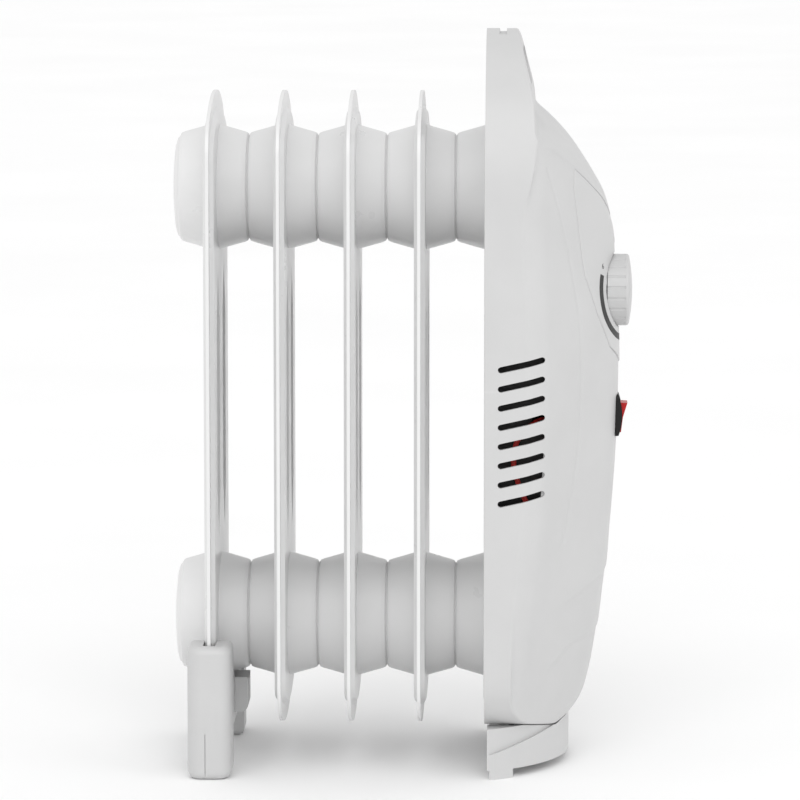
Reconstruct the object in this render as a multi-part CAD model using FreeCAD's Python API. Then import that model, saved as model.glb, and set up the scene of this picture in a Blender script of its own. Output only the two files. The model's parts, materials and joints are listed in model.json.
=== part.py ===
"""Five-fin oil filled radiator heater with a front control housing.

Frame: millimetres, +X towards the control knob, +Z up, the floor at Z = 0, and the origin
midway along and across the heater on that floor.
"""
import FreeCAD, Part
import math
import os

V = FreeCAD.Vector
X_AXIS = V(1, 0, 0)
Y_AXIS = V(0, 1, 0)
Z_AXIS = V(0, 0, 1)

# ---- radiator stack -------------------------------------------------------------------------
FIN_COUNT = 5
FIN_PITCH = 34.5
FIN_FIRST_X = -94.3
FIN_HALF_WIDTH = 63.5
FIN_BOTTOM_Z = 19.7
FIN_TOP_Z = 336.5
FIN_TOP_CORNER = 22.0
FIN_TOP_CROWN = 130.0
FIN_BOTTOM_CORNER = 20.0
FIN_BOTTOM_CROWN = 150.0
RIM_HALF = 0.8                  # half the thickness of the two welded sheets at the rim
CHANNEL_HALF = 2.65             # half the thickness over an oil channel
CHANNEL_INSET = 7.0             # from the rim's edge to the foot of the pressed slope
CHANNEL_SLOPE = 3.5             # width of the pressed slope
SHEET = 0.8
RECESS_Y = 22.0                 # two pointed flutes part the three oil channels
RECESS_HALF_WIDTH = 8.5
RECESS_LOW_Z = 118.0
RECESS_HIGH_Z = 244.0
RECESS_POINT = 20.0             # length of each pointed end

COLLECTOR_LOW_Z = 72.2
COLLECTOR_HIGH_Z = 288.3
COLLECTOR_ROOT_R = 31.9         # where a cone meets its fin
COLLECTOR_SHOULDER_R = 27.6     # where the cone starts to round over
COLLECTOR_FACE_R = 25.6         # the ring that butts against the next fin's
COLLECTOR_WALL = 1.2
COLLECTOR_FLOW_R = 19.5
SHOULDER_LENGTH = 2.2
END_CAP_DOME = 3.4
FIN_X = [FIN_FIRST_X + FIN_PITCH * index for index in range(FIN_COUNT)]
LAST_FACE_X = FIN_X[-1] + FIN_PITCH / 2

ELEMENT_FLANGE = 2.4            # thickness of the flange that closes the front collector
ELEMENT_LEG_Z = 11.0
ELEMENT_R = 4.0
ELEMENT_TIP_X = -96.0

# ---- control housing ------------------------------------------------------------------------
HOUSING_REAR_X = 41.5
HOUSING_HALF_WIDTH = 69.5
HOUSING_TOP_Z = 367.6
HOUSING_BOTTOM_Z = 20.0
HOUSING_TOP_SIDE_R = 80.0
HOUSING_TOP_CROWN = 52.0
HOUSING_BOTTOM_CORNER = 24.0
HOUSING_BOTTOM_CROWN = 230.0
BELLY_CENTRE_X = 65.2           # the round of the housing's lower front edge
BELLY_CENTRE_Z = 48.6
BELLY_R = 29.1
BELLY_TURN_DEG = 67.0
WALL = 2.2
NOSE_WALL = 2.8                 # measured along X, 2.2 square to the sloping flank
FLANK_SLOPE = 0.752
NOSE_ROUNDNESS = 20.0
NOSE_BACK_X = -5.0
SHOULDER_START_Y = 61.0
SHOULDER_BEND = 0.07
# centre line of the flanks, as height and distance forward
NOSE_LINE = ((0.0, 84.0), (30.0, 91.0), (45.0, 93.7), (63.0, 96.7), (98.5, 101.7),
             (139.0, 105.4), (170.0, 107.1), (200.0, 107.7), (230.0, 106.9), (257.6, 104.9),
             (285.0, 104.3), (345.0, 103.0))
# centre line of the cap that slopes back over the flanks; the two meet in a raised V
CAP_LINE = ((0.0, 150.0), (256.0, 107.6), (272.0, 103.3), (285.3, 99.6), (295.4, 94.7),
            (305.5, 88.8), (315.6, 81.6), (325.7, 71.9), (334.0, 61.5), (345.0, 46.0))
CAP_ROUND_R = 150.0             # radius of the cap across its middle
# front of the flat slab that carries the grip, as height and distance forward
SLAB_FRONT = ((8.0, 55.0), (255.0, 55.0), (275.0, 58.0), (295.0, 64.0), (310.0, 66.3),
              (331.0, 65.5), (351.0, 61.4), (364.0, 58.3))
SLAB_TOP_FRONT_X = 56.0
CAVITY_TOP_Z = 338.0
GRIP_LOW_Z = 340.5
GRIP_HIGH_Z = 358.5
GRIP_HALF_WIDTH = 30.0
TOP_SLOT = (47.9, 51.5, 15.0, 2.2)          # rear X, front X, half width, depth

LOUVRE_COUNT = 8
LOUVRE_REAR_X = 49.5
LOUVRE_LENGTH = 20.5
LOUVRE_TOP_Z = 204.8
LOUVRE_PITCH = 9.46
LOUVRE_WIDTH = 3.1
LOUVRE_RISE_DEG = 12.6

PLATE_X = LAST_FACE_X + ELEMENT_FLANGE
PLATE_THICK = 1.2
PLATE_FRONT_X = PLATE_X + PLATE_THICK
PLATE_HALF_WIDTH = 50.0
PLATE_FOLD_X = 48.0
PLATE_SCREEN_X = 73.0
PLATE_FOLD_Z = (72.0, 268.0)
BOSS_SPOTS = ((-44.0, 52.0), (44.0, 52.0), (-46.0, 262.0), (46.0, 262.0))
BOSS_R = 4.5
SCREW_R = 1.7
SCREW_REACH = 5.0               # thread length beyond the plate
CUTOUT_Y = 33.5
GLAND_X = 62.0
GLAND_Y = -24.0

# ---- controls -------------------------------------------------------------------------------
KNOB_Z = 237.1
KNOB_R = 17.9
KNOB_BACK_X = 101.9
KNOB_FACE_X = 114.4
KNOB_DOME_R = 90.0
KNOB_FLUTES = 20
KNOB_FLUTE_R = 0.9
POCKET_R = 18.6
POCKET_FLOOR_X = 101.3
SHAFT_R = 3.0
SHAFT_RUNNING = 0.05
SHAFT_FLAT = 0.9

PANEL_PROUD = 0.6
PANEL_SEAT = 1.5                # depth of the seat in the shell
PANEL_GAP = 0.25
# right half of the shield outline, as distance from the centre line and height
PANEL_OUTLINE = ((0.0, 274.5), (14.0, 281.5), (26.0, 290.0), (40.8, 301.0), (41.3, 291.0),
                 (38.9, 276.0), (36.9, 262.0), (34.6, 247.0), (27.1, 228.0), (16.2, 210.0),
                 (0.0, 201.0))

SWITCH_Z = 174.3
BEZEL_HALF_Z = 10.5
BEZEL_HALF_Y = 7.5
BEZEL_BACK_X = 107.9
BEZEL_FACE_X = 109.7
BEZEL_DOME_R = 30.0
BEZEL_CORNER_R = 2.0
SWITCH_BODY_HALF_Z = 9.5
SWITCH_BODY_HALF_Y = 6.4
SWITCH_BODY_BACK_X = 92.0
ROCKER_HALF_Z = 7.6
ROCKER_HALF_Y = 5.2
ROCKER_PIVOT_X = 105.0
ROCKER_TILT_DEG = 12.0
ROCKER_DISH_DEG = 5.0

# ---- feet -----------------------------------------------------------------------------------
REAR_LEG_HALF_X = 10.8
REAR_LEG_OUT_Y = 69.3
REAR_LEG_IN_Y = 44.0
REAR_LEG_TOP_Z = 66.5
REAR_SEAM_TOP_Z = 23.0          # the moulding seam low on each leg's outer face
REAR_SEAM_BACK = 1.8
FOOT_CLEAR = 0.4
FOOT_FIX_Y = 50.0               # the screws that hold the rear foot to the first fin's rim
FOOT_FIX_Z = 33.0
FOOT_SCREW_LENGTH = 18.0
BAR_LOW_Z = 19.5
BAR_HIGH_Z = 52.0
SADDLE_FRONT_X = -78.2
SADDLE_LOW_Z = 23.0
SADDLE_HALF_Y = 10.0
FRONT_FOOT_TOP_Z = 25.2
FRONT_FOOT_UNDER_Z = 4.5
FRONT_FOOT_OUT_R = 73.4
FRONT_FOOT_CENTRE_X = 10.1
FRONT_FOOT_WALL = 13.0
FRONT_FOOT_HALF_Y = 63.5
FRONT_FOOT_REAR_X = 48.0
FRONT_PAD_FRONT_X = 55.8
FRONT_PAD_REAR_X = 44.2
BELT_DEPTH = 1.6                # the band round the front foot stands this far out
BELT_REAR = (40.0, 11.0)        # its upper edge, as X and Z, at the back and at the front
BELT_FRONT = (84.0, 24.2)
FOOT_SCREW_SPOTS = ((58.0, -44.0), (58.0, 44.0))


# ---- helpers --------------------------------------------------------------------------------
def save(name, *solids):
    """Write one node's file; several solids stay separate in it."""
    shape = solids[0] if len(solids) == 1 else Part.makeCompound(list(solids))
    shape.exportStep("parts/" + name + ".step")


def block(x_range, y_range, z_range):
    return Part.makeBox(x_range[1] - x_range[0], y_range[1] - y_range[0],
                        z_range[1] - z_range[0], V(x_range[0], y_range[0], z_range[0]))


def rod(start, direction, length, radius):
    return Part.makeCylinder(radius, length, start, direction)


def polygon(points):
    return Part.makePolygon(list(points) + [points[0]])


def prism(wire, direction):
    return Part.Face(wire).extrude(direction)


def turned(profile, centre_z, direction=1):
    """Revolve (x, radius) points about the line along X at the given height."""
    points = [V(x * direction, 0, centre_z + r) for x, r in profile]
    face = Part.Face(polygon(points))
    return face.revolve(V(0, 0, centre_z), X_AXIS, 360)


def arch_outline(x, half_width, low, high, low_corner, low_crown, high_side, high_crown):
    """Closed outline across the heater: crowned bottom and top joined by straight sides."""
    low_dz = math.sqrt((low_crown - low_corner) ** 2 - (half_width - low_corner) ** 2)
    low_z = low + low_crown - low_dz
    low_dir = V(0, half_width - low_corner, -low_dz).normalize()
    low_tangent = V(0, half_width - low_corner, low_z) + low_dir * low_corner
    high_dz = math.sqrt((high_crown - high_side) ** 2 - (half_width - high_side) ** 2)
    if high_side < high_crown:
        high_z = high - high_crown + high_dz
        high_dir = V(0, half_width - high_side, high_dz).normalize()
    else:
        high_z = high - high_crown - high_dz
        high_dir = V(0, high_side - half_width, high_dz).normalize()
    high_tangent = V(0, half_width - high_side, high_z) + high_dir * high_side
    low_mid_dir = (low_dir + Y_AXIS).normalize()
    high_mid_dir = (high_dir + Y_AXIS).normalize()
    low_mid = V(0, half_width - low_corner, low_z) + low_mid_dir * low_corner
    high_mid = V(0, half_width - high_side, high_z) + high_mid_dir * high_side
    right = [low_tangent, low_mid, V(0, half_width, low_z), V(0, half_width, high_z),
             high_mid, high_tangent]
    right = [V(x, p.y, p.z) for p in right]
    left = [V(x, -p.y, p.z) for p in right]
    edges = [Part.Arc(left[0], V(x, 0, low), right[0]).toShape(),
             Part.Arc(right[0], right[1], right[2]).toShape(),
             Part.LineSegment(right[2], right[3]).toShape(),
             Part.Arc(right[3], right[4], right[5]).toShape(),
             Part.Arc(right[5], V(x, 0, high), left[5]).toShape(),
             Part.Arc(left[5], left[4], left[3]).toShape(),
             Part.LineSegment(left[3], left[2]).toShape(),
             Part.Arc(left[2], left[1], left[0]).toShape()]
    return Part.Wire(edges)


def loft(*wires):
    return Part.makeLoft(list(wires), True, True)


def tube(points, radius):
    """Straight runs joined by tangent arcs along a list of points."""
    points = [V(*p) for p in points]
    edges = []
    start = points[0]
    for before, corner, after in zip(points, points[1:], points[2:]):
        back = (before - corner).normalize()
        ahead = (after - corner).normalize()
        reach = 0.45 * min((before - corner).Length, (after - corner).Length)
        turn = math.pi - back.getAngle(ahead)
        bend = reach / math.tan(turn / 2)
        first = corner + back * reach
        last = corner + ahead * reach
        toward = (back + ahead).normalize()
        middle = corner + toward * (math.hypot(bend, reach) - bend)
        edges.append(Part.LineSegment(start, first).toShape())
        edges.append(Part.Arc(first, middle, last).toShape())
        start = last
    edges.append(Part.LineSegment(start, points[-1]).toShape())
    path = Part.Wire(edges)
    section = Part.Wire(Part.makeCircle(radius, points[0], points[1] - points[0]))
    return path.makePipeShell([section], True, False)


# ---- fins and collectors --------------------------------------------------------------------
def fin_outline(x, inset):
    return arch_outline(x, FIN_HALF_WIDTH - inset, FIN_BOTTOM_Z + inset, FIN_TOP_Z - inset,
                        FIN_BOTTOM_CORNER - inset, FIN_BOTTOM_CROWN - inset,
                        FIN_TOP_CORNER - inset, FIN_TOP_CROWN - inset)


def recess_outline(x, side, grow):
    """One flute: straight sides and a pointed end top and bottom."""
    half = RECESS_HALF_WIDTH + grow
    centre = side * RECESS_Y
    return polygon([V(x, centre, RECESS_LOW_Z - grow * 2),
                    V(x, centre + half, RECESS_LOW_Z + RECESS_POINT),
                    V(x, centre + half, RECESS_HIGH_Z - RECESS_POINT),
                    V(x, centre, RECESS_HIGH_Z + grow * 2),
                    V(x, centre - half, RECESS_HIGH_Z - RECESS_POINT),
                    V(x, centre - half, RECESS_LOW_Z + RECESS_POINT)])


def channel_pad(half, shrink, direction):
    """Pressed bulge on one side of a fin, with its two flutes sunk to the rim's level."""
    pad = loft(fin_outline(0, CHANNEL_INSET + shrink),
               fin_outline(direction * half, CHANNEL_INSET + CHANNEL_SLOPE + shrink))
    for side in (-1, 1):
        flute = loft(recess_outline(0, side, shrink - CHANNEL_SLOPE / 2),
                     recess_outline(direction * half, side, shrink + CHANNEL_SLOPE / 2))
        pad = pad.cut(flute)
    return pad


def collector(centre_z, direction, thin):
    """One cone from the fin's middle to the butt face, solid or as its hollow core."""
    end = FIN_PITCH / 2 - (COLLECTOR_WALL if thin else 0)
    profile = [(0, 0), (0, COLLECTOR_ROOT_R - thin),
               (end - SHOULDER_LENGTH, COLLECTOR_SHOULDER_R - thin),
               (end - SHOULDER_LENGTH * 0.35, COLLECTOR_SHOULDER_R - 0.6 - thin),
               (end, COLLECTOR_FACE_R - thin), (end, 0)]
    return turned(profile, centre_z, direction)


def make_fin():
    plate = prism(fin_outline(-RIM_HALF, 0), X_AXIS * (2 * RIM_HALF))
    core = []
    for direction in (-1, 1):
        plate = plate.fuse(channel_pad(CHANNEL_HALF, 0, direction))
        core.append(channel_pad(CHANNEL_HALF - SHEET, SHEET * 2, direction))
        for centre_z in (COLLECTOR_LOW_Z, COLLECTOR_HIGH_Z):
            plate = plate.fuse(collector(centre_z, direction, 0))
            core.append(collector(centre_z, direction, COLLECTOR_WALL))
    for centre_z in (COLLECTOR_LOW_Z, COLLECTOR_HIGH_Z):
        core.append(rod(V(-FIN_PITCH, 0, centre_z), X_AXIS, 2 * FIN_PITCH,
                        COLLECTOR_FLOW_R))
    for piece in core:
        plate = plate.cut(piece)
    return plate.removeSplitter()


def end_cap(centre_z):
    """Domed disc that closes the last cone."""
    face_x = FIN_FIRST_X - FIN_PITCH / 2
    edge = COLLECTOR_FACE_R - 0.3
    profile = [(face_x, 0), (face_x, edge), (face_x - 1.0, edge - 0.9),
               (face_x - 1.8, edge - 3.5), (face_x - 2.5, edge - 10.0),
               (face_x - 3.1, edge - 18.0), (face_x - END_CAP_DOME, 0)]
    return turned(profile, centre_z)


def make_radiator():
    fin = make_fin()
    for index, x in enumerate(FIN_X):
        placed = fin.translated(V(x, 0, 0))
        if index == 0:
            for side in (-1, 1):
                placed = placed.cut(rod(V(x - 20, side * FOOT_FIX_Y, FOOT_FIX_Z), X_AXIS, 40,
                                        SCREW_R + 0.1))
        save("fin_%d" % (index + 1), placed)
    save("upper_end_cap", end_cap(COLLECTOR_HIGH_Z))
    save("lower_end_cap", end_cap(COLLECTOR_LOW_Z))


# ---- heating element ------------------------------------------------------------------------


def make_element():
    flange = rod(V(LAST_FACE_X, 0, COLLECTOR_LOW_Z), X_AXIS, ELEMENT_FLANGE,
                 COLLECTOR_FACE_R - 0.3)
    bend = V(ELEMENT_TIP_X, 0, COLLECTOR_LOW_Z)
    legs = []
    for side in (-1, 1):
        centre = V(ELEMENT_TIP_X, 0, COLLECTOR_LOW_Z + side * ELEMENT_LEG_Z)
        length = LAST_FACE_X + 8.0 - ELEMENT_TIP_X
        legs.append(rod(centre, X_AXIS, length, ELEMENT_R))
        flange = flange.cut(rod(centre, X_AXIS, length, ELEMENT_R))
    ring = Part.makeTorus(ELEMENT_LEG_Z, ELEMENT_R, bend, Y_AXIS)
    half_ring = ring.common(block((ELEMENT_TIP_X - 20, ELEMENT_TIP_X), (-9, 9),
                                  (COLLECTOR_LOW_Z - 20, COLLECTOR_LOW_Z + 20)))
    save("element_flange", flange)
    save("heating_element", legs[0].fuse(half_ring).fuse(legs[1]).removeSplitter())
    blades = []
    for side in (-1, 1):
        z = COLLECTOR_LOW_Z + side * ELEMENT_LEG_Z
        blades.append(block((LAST_FACE_X + 8.0, LAST_FACE_X + 19.0), (-3.1, 3.1),
                            (z - 0.4, z + 0.4)))
    save("element_terminals", *blades)
    cap = rod(V(LAST_FACE_X, 0, COLLECTOR_HIGH_Z), X_AXIS, ELEMENT_FLANGE,
              COLLECTOR_FACE_R - 0.3)
    plug_hole = rod(V(LAST_FACE_X, 0, COLLECTOR_HIGH_Z), X_AXIS, ELEMENT_FLANGE, 4.0)
    save("front_end_cap", cap.cut(plug_hole))
    hexagon = [V(LAST_FACE_X + ELEMENT_FLANGE, 6.5 * math.cos(math.radians(60 * i)),
                 COLLECTOR_HIGH_Z + 6.5 * math.sin(math.radians(60 * i))) for i in range(6)]
    head = prism(polygon(hexagon), X_AXIS * 4.0)
    shank = rod(V(LAST_FACE_X - 6, 0, COLLECTOR_HIGH_Z), X_AXIS, 6 + ELEMENT_FLANGE, 4.0)
    save("oil_filler_plug", head.fuse(shank).removeSplitter())


# ---- housing --------------------------------------------------------------------------------
def nose_drop(y):
    """How far the nose falls back from its centre line at a distance across."""
    drop = FLANK_SLOPE * (math.hypot(y, NOSE_ROUNDNESS) - NOSE_ROUNDNESS)
    return drop + SHOULDER_BEND * max(0.0, abs(y) - SHOULDER_START_Y) ** 2


def cap_drop(y):
    return y * y / (2 * CAP_ROUND_R)


def carried_solid(line, drop, offset):
    """Everything behind a centre line carried along a profile, in facets that are all flat."""
    right = [0, 6, 12, 18, 24, 30, 36, 42, 48, 54, 58, 61, 64, 67, 70, 76]
    columns = [-y for y in reversed(right[1:])] + right
    grid = [[V(x + offset - drop(y), y, z) for y in columns] for z, x in line]
    faces = []
    for low, high in zip(grid, grid[1:]):
        for i in range(len(columns) - 1):
            faces.append(Part.Face(polygon([low[i], low[i + 1], high[i + 1], high[i]])))
    back_low = [V(NOSE_BACK_X, y, line[0][0]) for y in (-76, 76)]
    back_high = [V(NOSE_BACK_X, y, line[-1][0]) for y in (-76, 76)]
    faces.append(Part.Face(polygon(back_low + back_high[::-1])))
    faces.append(Part.Face(polygon(grid[0] + back_low[::-1])))
    faces.append(Part.Face(polygon(grid[-1] + back_high[::-1])))
    for side in (0, -1):
        edge = [row[side] for row in grid]
        faces.append(Part.Face(polygon(edge + [back_high[side], back_low[side]])))
    solid = Part.Solid(Part.Shell(faces))
    if solid.Volume < 0:
        solid.reverse()
    return solid


def nose_solid(offset):
    """Everything behind the nose surface, which may be moved along X by an offset."""
    flanks = carried_solid(NOSE_LINE, nose_drop, offset)
    return flanks.common(carried_solid(CAP_LINE, cap_drop, offset))


def slab_solid(inset):
    points = [V(HOUSING_REAR_X, 0, SLAB_FRONT[0][0])]
    points += [V(x - inset, 0, z) for z, x in SLAB_FRONT]
    points += [V(SLAB_TOP_FRONT_X - inset, 0, HOUSING_TOP_Z),
               V(HOUSING_REAR_X, 0, HOUSING_TOP_Z)]
    return prism(polygon(points), Y_AXIS * 160).translated(V(0, -80, 0))


def belly_solid(inset):
    """Rounds the housing's lower front edge."""
    radius = BELLY_R - inset
    low, middle, high = (V(BELLY_CENTRE_X + radius * math.sin(math.radians(turn)), 0,
                           BELLY_CENTRE_Z - radius * math.cos(math.radians(turn)))
                         for turn in (0, BELLY_TURN_DEG / 2, BELLY_TURN_DEG))
    line_points = [high, V(125, 0, 120), V(125, 0, 375), V(30, 0, 375), V(30, 0, low.z), low]
    edges = [Part.Arc(low, middle, high).toShape()]
    for a, b in zip(line_points, line_points[1:]):
        edges.append(Part.LineSegment(a, b).toShape())
    return prism(Part.Wire(edges), Y_AXIS * 160).translated(V(0, -80, 0))


def housing_envelope(inset, nose_inset, top):
    arch = arch_outline(HOUSING_REAR_X - (5 if inset else 0), HOUSING_HALF_WIDTH - inset,
                        HOUSING_BOTTOM_Z + inset, HOUSING_TOP_Z - inset,
                        HOUSING_BOTTOM_CORNER - inset, HOUSING_BOTTOM_CROWN - inset,
                        HOUSING_TOP_SIDE_R - inset, HOUSING_TOP_CROWN - inset)
    body = slab_solid(inset)
    if inset:
        body = body.fuse(block((HOUSING_REAR_X - 5, HOUSING_REAR_X), (-80, 80), (8, top)))
    body = body.fuse(nose_solid(-nose_inset))
    column = prism(arch, X_AXIS * 90).common(belly_solid(inset))
    return column.common(body).common(block((30, 130), (-80, 80), (5, top)))


def shield(grow):
    """Column along X over the control panel's outline."""
    right = [V(60, y, z) for y, z in PANEL_OUTLINE]
    left = [V(60, -p.y, p.z) for p in right[-2:0:-1]]
    wire = polygon(right + left)
    if grow:
        wire = wire.makeOffset2D(grow)
    return prism(wire, X_AXIS * 70)


def louvre(index, side):
    z = LOUVRE_TOP_Z - index * LOUVRE_PITCH
    half = LOUVRE_WIDTH / 2
    bar = block((0, LOUVRE_LENGTH), (-12, 12), (-half, half))
    for x in (0, LOUVRE_LENGTH):
        bar = bar.fuse(rod(V(x, -12, 0), Y_AXIS, 24, half))
    bar.rotate(V(0, 0, 0), Y_AXIS, -LOUVRE_RISE_DEG)
    return bar.removeSplitter().translated(V(LOUVRE_REAR_X, side * HOUSING_HALF_WIDTH, z))


def make_housing():
    outer = housing_envelope(0, 0, HOUSING_TOP_Z)
    inner = housing_envelope(WALL, NOSE_WALL, CAVITY_TOP_Z)
    shell = outer.cut(inner)
    # a boss for each housing screw, cut to the inside of the shell
    for y, z in BOSS_SPOTS:
        post = rod(V(PLATE_FRONT_X + 0.1, y, z), X_AXIS, 50, BOSS_R)
        shell = shell.fuse(post.common(inner))
        shell = shell.cut(rod(V(PLATE_FRONT_X, y, z), X_AXIS, SCREW_REACH + 0.2, SCREW_R))
    # seat and bore of the control panel
    seat = shield(PANEL_GAP).cut(nose_solid(-PANEL_SEAT))
    shell = shell.cut(seat)
    shell = shell.cut(rod(V(80, 0, KNOB_Z), X_AXIS, 40, POCKET_R + 2.6))
    # rocker switch window
    shell = shell.cut(block((85, 120), (-SWITCH_BODY_HALF_Y - 0.2, SWITCH_BODY_HALF_Y + 0.2),
                            (SWITCH_Z - SWITCH_BODY_HALF_Z - 0.2,
                             SWITCH_Z + SWITCH_BODY_HALF_Z + 0.2)))
    shell = shell.cut(block((107.0 - 0.9, 120), (-BEZEL_HALF_Y - 0.15, BEZEL_HALF_Y + 0.15),
                            (SWITCH_Z - BEZEL_HALF_Z - 0.15, SWITCH_Z + BEZEL_HALF_Z + 0.15)))
    # grip opening, rounded at both ends
    grip_r = (GRIP_HIGH_Z - GRIP_LOW_Z) / 2
    grip_z = (GRIP_HIGH_Z + GRIP_LOW_Z) / 2
    grip = block((30, 80), (-GRIP_HALF_WIDTH + grip_r, GRIP_HALF_WIDTH - grip_r),
                 (GRIP_LOW_Z, GRIP_HIGH_Z))
    for side in (-1, 1):
        y = side * (GRIP_HALF_WIDTH - grip_r)
        grip = grip.fuse(rod(V(30, y, grip_z), X_AXIS, 50, grip_r))
    shell = shell.cut(grip.removeSplitter())
    # shallow slot across the crown
    rear, front, half, depth = TOP_SLOT
    shell = shell.cut(block((rear, front), (-half, half),
                            (HOUSING_TOP_Z - depth, HOUSING_TOP_Z + 5)))
    # the floor stops short of the last fin
    shell = shell.cut(block((30, 50.0), (-62.0, 62.0), (10, 32)))
    shell = shell.cut(fin_slot(FIN_X[-1], FOOT_CLEAR, FOOT_CLEAR))
    shell = shell.cut([louvre(index, side) for index in range(LOUVRE_COUNT)
                       for side in (-1, 1)])
    shell = shell.cut(rod(V(GLAND_X, GLAND_Y, 10), Z_AXIS, 20, 6.1))
    for x, y in FOOT_SCREW_SPOTS:
        shell = shell.cut(rod(V(x, y, 10), Z_AXIS, 20, SCREW_R + 0.1))
    save("housing_shell", shell.removeSplitter())
    make_panel()
    make_plate()


def make_panel():
    """Shield-shaped panel with the round pocket that the knob sits in."""
    skin = shield(0).common(nose_solid(PANEL_PROUD)).cut(nose_solid(0.15 - PANEL_SEAT))
    cup = rod(V(POCKET_FLOOR_X - 2.2, 0, KNOB_Z), X_AXIS, 20, POCKET_R + 2.2)
    cup = cup.common(nose_solid(PANEL_PROUD))
    panel = skin.fuse(cup)
    panel = panel.cut(rod(V(POCKET_FLOOR_X, 0, KNOB_Z), X_AXIS, 20, POCKET_R))
    panel = panel.cut(rod(V(80, 0, KNOB_Z), X_AXIS, 40, SHAFT_R + 2.0))
    save("control_panel", panel.removeSplitter())


def make_plate():
    """Sheet steel plate that carries the housing on the two collectors."""
    outline = arch_outline(PLATE_X, PLATE_HALF_WIDTH, 46.0, 300.0, 10.0, 300.0, 20.0, 150.0)
    plate = prism(outline, X_AXIS * PLATE_THICK)
    # folded back along both sides, behind the louvres
    for side in (-1, 1):
        ys = sorted((side * PLATE_HALF_WIDTH, side * (PLATE_HALF_WIDTH + PLATE_THICK)))
        lip = sorted((side * (PLATE_HALF_WIDTH - 1), side * (PLATE_HALF_WIDTH + PLATE_THICK)))
        plate = plate.fuse(block((PLATE_FOLD_X, PLATE_FRONT_X), ys, PLATE_FOLD_Z))
        plate = plate.fuse(block((PLATE_X, PLATE_FRONT_X), lip, PLATE_FOLD_Z))
    # and forward beside the slots, with a gap on one side for the live wire
    near, far = -PLATE_HALF_WIDTH - PLATE_THICK, PLATE_HALF_WIDTH
    for y, z_range in ((near, (131.0, 171.0)), (near, (186.0, 210.0)), (far, (116.0, 210.0))):
        plate = plate.fuse(block((PLATE_X, PLATE_SCREEN_X), (y, y + PLATE_THICK), z_range))
    plate = plate.removeSplitter()
    plate = plate.cut(rod(V(PLATE_X, 0, COLLECTOR_HIGH_Z), X_AXIS, PLATE_THICK, 8.0))
    for side in (-1, 1):
        plate = plate.cut(rod(V(PLATE_X, 0, COLLECTOR_LOW_Z + side * ELEMENT_LEG_Z),
                              X_AXIS, PLATE_THICK, ELEMENT_R + 0.6))
    screws = []
    for y, z in BOSS_SPOTS:
        plate = plate.cut(rod(V(PLATE_X, y, z), X_AXIS, PLATE_THICK, SCREW_R + 0.3))
        shank = rod(V(PLATE_X, y, z), X_AXIS, PLATE_THICK + SCREW_REACH, SCREW_R)
        screws.append(shank.fuse(rod(V(PLATE_X - 2.0, y, z), X_AXIS, 2.0, 3.4)))
    # cooling slots
    for row in range(6):
        for side in (-1, 1):
            z = 120 + row * 22
            plate = plate.cut(block((PLATE_X, PLATE_FRONT_X),
                                    (side * 34 - 12, side * 34 + 12), (z, z + 5)))
    save("mounting_plate", plate)
    save("housing_screws", *[s.removeSplitter() for s in screws])


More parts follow.
